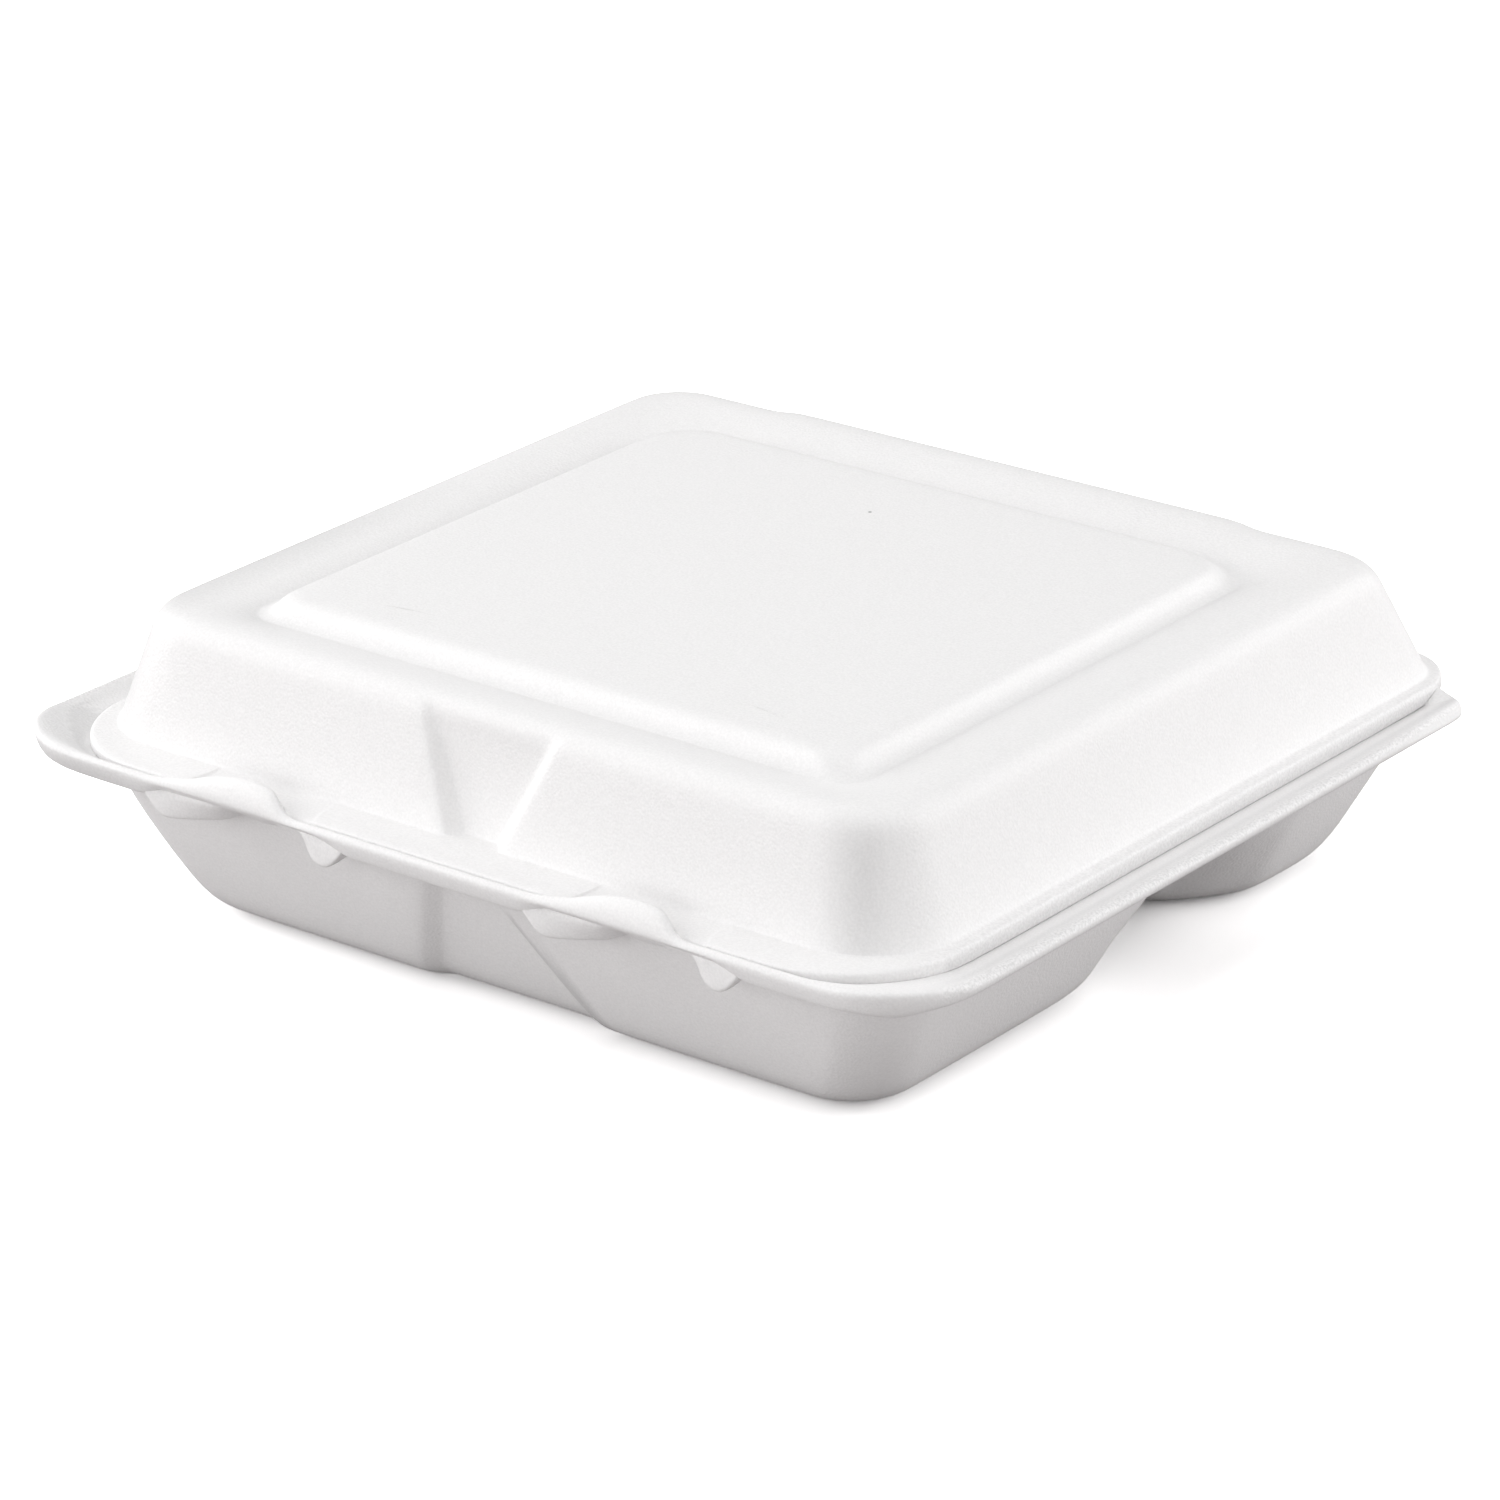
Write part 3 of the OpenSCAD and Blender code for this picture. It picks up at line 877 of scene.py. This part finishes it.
def make_web():
    """Thin strip of foam along the back that joins tray and lid, cut across where it turns at the hinge."""
    bpy.ops.object.select_all(action="DESELECT")
    bpy.ops.mesh.primitive_cube_add(size=2)
    piece = open_piece("hinge_web")
    stretch(hinge_half * MM, web_thick / 2 * MM, web_turn * 3 * MM, (0, 0, 0))
    shift(y=back_edge - web_thick / 2 - 0.1, z=hinge.z)
    bpy.ops.mesh.bevel(offset=web_thick * 0.3 * MM, segments=2, affect="EDGES")
    for step in (-1, 0, 1):
        cut("z", hinge.z + step * web_turn)
    bpy.ops.mesh.select_all(action="SELECT")
    bpy.ops.mesh.normals_make_consistent(inside=False)
    bpy.ops.object.mode_set(mode="OBJECT")
    bpy.ops.object.shade_smooth_by_angle(angle=math.radians(40))
    set_in_place()
    return piece


def shape_tray_grip():
    """Presses the grip recess into the front wall, narrow below the rim and wide at the floor."""
    for z in (shelf_top - shelf_round, *wall_levels, *[z for z, _ in foot_line]):
        level = lambda p: abs(p.z - z) < same and p.y < -60
        for side in SIDES:
            grip, reach, flank = tray_grip[side]
            spread = reach * (1 - z / wall_h)
            pick(lambda p: level(p) and 0 < p.x * side < grip + flank + 1.5)
            shift(x=side * spread)
            pick(lambda p: level(p) and 0 < p.x * side < grip + spread + near)
            shift(y=tray_grip_depth)


# Foam skin
foam_colour = (0.815, 0.807, 0.807)
foam_roughness = 0.55
foam_sheen = 0.4
cell_size = 0.5
fleck_size = 0.45
patch_size = 5.0
grain_strength = 1.0
grain_depth = 0.1
tone_swing = 0.03
grit_swing = 2.4
speck = (-3.3, 34.3)
speck_size = 0.45
speck_tone = 0.3


def grain_and_shade_group():
    """Closed cells of the foam: a height for the skin and a faint change of tone from cell to cell, with
    the painted shade in the tone.
    """
    group = bpy.data.node_groups.new("foam_grain_and_painted_shade", "ShaderNodeTree")
    group.interface.new_socket("Height", in_out="OUTPUT", socket_type="NodeSocketFloat")
    group.interface.new_socket("Tone", in_out="OUTPUT", socket_type="NodeSocketFloat")
    nodes, links = group.nodes, group.links
    place = nodes.new("ShaderNodeTexCoord")
    cells = nodes.new("ShaderNodeTexVoronoi")
    cells.feature = "SMOOTH_F1"
    cells.inputs["Scale"].default_value = 1 / (cell_size * MM)
    cells.inputs["Smoothness"].default_value = 0.6
    patches = nodes.new("ShaderNodeTexNoise")
    patches.inputs["Scale"].default_value = 1 / (patch_size * MM)
    patches.inputs["Detail"].default_value = 3
    height = nodes.new("ShaderNodeMath")
    height.operation = "MULTIPLY"
    flecks = nodes.new("ShaderNodeTexNoise")
    flecks.inputs["Scale"].default_value = 1 / (fleck_size * MM)
    flecks.inputs["Detail"].default_value = 1
    grit = nodes.new("ShaderNodeAttribute")
    grit.attribute_name = "grit"
    more = nodes.new("ShaderNodeMath")
    more.operation = "MULTIPLY_ADD"
    more.inputs[1].default_value = grit_swing
    more.inputs[2].default_value = 1.0
    swing = nodes.new("ShaderNodeMapRange")
    swing.inputs["From Min"].default_value = 0.3
    swing.inputs["From Max"].default_value = 0.7
    swing.inputs["To Min"].default_value = -tone_swing
    swing.inputs["To Max"].default_value = tone_swing
    tone = nodes.new("ShaderNodeMath")
    tone.operation = "MULTIPLY_ADD"
    # Painted shade: the shade marks darken the tone
    shade = nodes.new("ShaderNodeAttribute")
    shade.attribute_name = "shade"
    left = nodes.new("ShaderNodeMath")
    left.operation = "SUBTRACT"
    left.inputs[0].default_value = 1.0
    out = nodes.new("NodeGroupOutput")
    links.new(place.outputs["Object"], cells.inputs["Vector"])
    links.new(place.outputs["Object"], patches.inputs["Vector"])
    links.new(cells.outputs["Distance"], height.inputs[0])
    links.new(patches.outputs["Fac"], height.inputs[1])
    links.new(place.outputs["Object"], flecks.inputs["Vector"])
    links.new(flecks.outputs["Fac"], swing.inputs["Value"])
    links.new(grit.outputs["Fac"], more.inputs[0])
    links.new(swing.outputs[0], tone.inputs[0])
    links.new(more.outputs[0], tone.inputs[1])
    links.new(shade.outputs["Fac"], left.inputs[1])
    links.new(left.outputs[0], tone.inputs[2])
    links.new(height.outputs[0], out.inputs["Height"])
    links.new(tone.outputs[0], out.inputs["Tone"])
    return group


def foam_material():
    """White closed-cell foam: fine cells in the skin, a soft sheen, one dark speck on the lid and painted
    shade where marked.
    """
    material = bpy.data.materials.new("white_foam")
    material.use_nodes = True
    nodes, links = material.node_tree.nodes, material.node_tree.links
    shader = nodes["Principled BSDF"]
    shader.inputs["Roughness"].default_value = foam_roughness
    shader.inputs["Specular IOR Level"].default_value = foam_sheen
    grain_and_shade = nodes.new("ShaderNodeGroup")
    grain_and_shade.node_tree = grain_and_shade_group()
    bump = nodes.new("ShaderNodeBump")
    bump.inputs["Strength"].default_value = grain_strength
    bump.inputs["Distance"].default_value = grain_depth * MM
    links.new(grain_and_shade.outputs["Height"], bump.inputs["Height"])
    links.new(bump.outputs["Normal"], shader.inputs["Normal"])
    place = nodes.new("ShaderNodeTexCoord")
    reach = nodes.new("ShaderNodeVectorMath")
    reach.operation = "DISTANCE"
    reach.inputs[1].default_value = (speck[0] * MM, (speck[1] + middle) * MM, lid_high.z * MM)
    dark = nodes.new("ShaderNodeMapRange")
    dark.inputs["From Min"].default_value = speck_size * 0.4 * MM
    dark.inputs["From Max"].default_value = speck_size * MM
    dark.inputs["To Min"].default_value = speck_tone
    dark.inputs["To Max"].default_value = 1.0
    tone = nodes.new("ShaderNodeMath")
    tone.operation = "MULTIPLY"
    colour = nodes.new("ShaderNodeVectorMath")
    colour.operation = "SCALE"
    colour.inputs[0].default_value = foam_colour
    links.new(place.outputs["Object"], reach.inputs[0])
    links.new(reach.outputs["Value"], dark.inputs["Value"])
    links.new(dark.outputs[0], tone.inputs[0])
    links.new(grain_and_shade.outputs["Tone"], tone.inputs[1])
    links.new(tone.outputs[0], colour.inputs["Scale"])
    links.new(colour.outputs[0], shader.inputs["Base Color"])
    return material


# Floor: how pale it looks and how much light it throws back
floor_seen = 1.8
floor_bounce = (0.42, 0.4, 0.4)
floor_size_m = 8.0
floor_roughness = 0.9

# Lamps, in metres and watts: turn from the front towards the right, tilt above the floor, power, size
lamp_distance = 1.2
lamps = {
    "left_lamp": (-90, 15, 6.2, 0.8),
    "front_left_lamp": (-60, 15, 7.3, 0.8),
    "front_lamp": (-30, 15, 1.5, 0.8),
    "front_right_lamp": (10, 15, 5.2, 0.8),
    "right_lamp": (60, 15, 1.8, 0.8),
    "rear_right_lamp": (120, 15, 7.1, 0.8),
    "rear_lamp": (150, 15, 5.8, 0.8),
    "rear_left_lamp": (-130, 40, 1.6, 0.8),
    "top_lamp": (0, 85, 9.9, 1.2),
}

# Camera, fitted to the straight edges in the photograph, which is 1500 pixels square
photo_size = 1500
photo_focal = 6288.55
photo_origin = (769.657, 875.434)
camera_turn = 38.4046
camera_tilt = 22.5006
camera_roll = -0.8726
camera_distance = 1128.124
sensor = 36.0


def make_camera():
    """Camera at the photograph's viewing angle."""
    a, e, r = (math.radians(v) for v in (camera_turn, camera_tilt, camera_roll))
    right = Vector((math.cos(a), math.sin(a), 0))
    up = Vector((-math.sin(a) * math.sin(e), math.cos(a) * math.sin(e), math.cos(e)))
    ahead = Vector((-math.sin(a) * math.cos(e), math.cos(a) * math.cos(e), -math.sin(e)))
    half = photo_size / 2
    across = (photo_origin[0] - half) / photo_focal * camera_distance
    above = (half - photo_origin[1]) / photo_focal * camera_distance
    place = -(right * across + up * above + ahead * camera_distance)
    x_axis = right * math.cos(r) + up * math.sin(r)
    y_axis = up * math.cos(r) - right * math.sin(r)
    data = bpy.data.cameras.new("Camera")
    data.sensor_width = sensor
    data.lens = photo_focal / photo_size * data.sensor_width
    data.clip_start = 0.01
    data.clip_end = 50
    camera = bpy.data.objects.new("Camera", data)
    bpy.context.scene.collection.objects.link(camera)
    turn = Matrix((x_axis, y_axis, -ahead)).transposed()
    camera.matrix_world = Matrix.Translation((place + Vector((0, middle, 0))) * MM) @ turn.to_4x4()
    bpy.context.scene.camera = camera


def make_stage():
    """White floor, which keeps the shadow and throws little light back up."""
    bpy.ops.object.select_all(action="DESELECT")
    bpy.ops.mesh.primitive_plane_add(size=floor_size_m)
    floor = bpy.context.object
    floor.name = "floor"
    material = bpy.data.materials.new("floor_white")
    material.use_nodes = True
    nodes, links = material.node_tree.nodes, material.node_tree.links
    shader = nodes["Principled BSDF"]
    shader.inputs["Roughness"].default_value = floor_roughness
    shader.inputs["Specular IOR Level"].default_value = 0.0
    path = nodes.new("ShaderNodeLightPath")
    tone = nodes.new("ShaderNodeMix")
    tone.data_type = "RGBA"
    tone.inputs[6].default_value = (*floor_bounce, 1)
    tone.inputs[7].default_value = (*[floor_seen] * 3, 1)
    links.new(path.outputs["Is Camera Ray"], tone.inputs[0])
    links.new(tone.outputs[2], shader.inputs["Base Color"])
    floor.data.materials.append(material)
    floor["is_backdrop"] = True


def make_lamp(name, turn, tilt, power, size):
    """A soft square lamp that looks at the container from a side and a height."""
    data = bpy.data.lights.new(name, "AREA")
    data.shape = "SQUARE"
    data.size = size
    data.energy = power
    lamp = bpy.data.objects.new(name, data)
    bpy.context.scene.collection.objects.link(lamp)
    a, e = math.radians(turn), math.radians(tilt)
    away = Vector((math.sin(a) * math.cos(e), -math.cos(a) * math.cos(e), math.sin(e)))
    lamp.location = away * lamp_distance
    lamp.rotation_euler = away.to_track_quat("Z", "Y").to_euler()


def make_light():
    """Soft studio light: large lamps all round and above, and a surround that only the camera sees."""
    world = bpy.data.worlds.new("surround")
    bpy.context.scene.world = world
    world.use_nodes = True
    nodes, links = world.node_tree.nodes, world.node_tree.links
    back = nodes["Background"]
    back.inputs["Color"].default_value = (1, 1, 1, 1)
    path = nodes.new("ShaderNodeLightPath")
    links.new(path.outputs["Is Camera Ray"], back.inputs["Strength"])
    for name, lamp in lamps.items():
        make_lamp(name, *lamp)
    bpy.context.scene.view_settings.view_transform = "Standard"


foam = foam_material()
lid = make_lid()
tray = make_tray()
gussets = [make_gusset(side) for side in SIDES]
web = make_web()
web.data.materials.append(foam)
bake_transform(web)
for gusset in gussets:
    gusset.data.materials.append(foam)
    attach(gusset, "tray")
for piece, body, node in ((lid, "cover", "lid"), (tray, "tray", "base_tray")):
    piece.data.materials.clear()
    piece.data.materials.append(foam)
    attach(piece, body)
    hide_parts(node)
make_camera()
make_stage()
make_light()

low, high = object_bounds()
{"cad": [list(cad_low), list(cad_high)], "visual": [list(low), list(high)]}
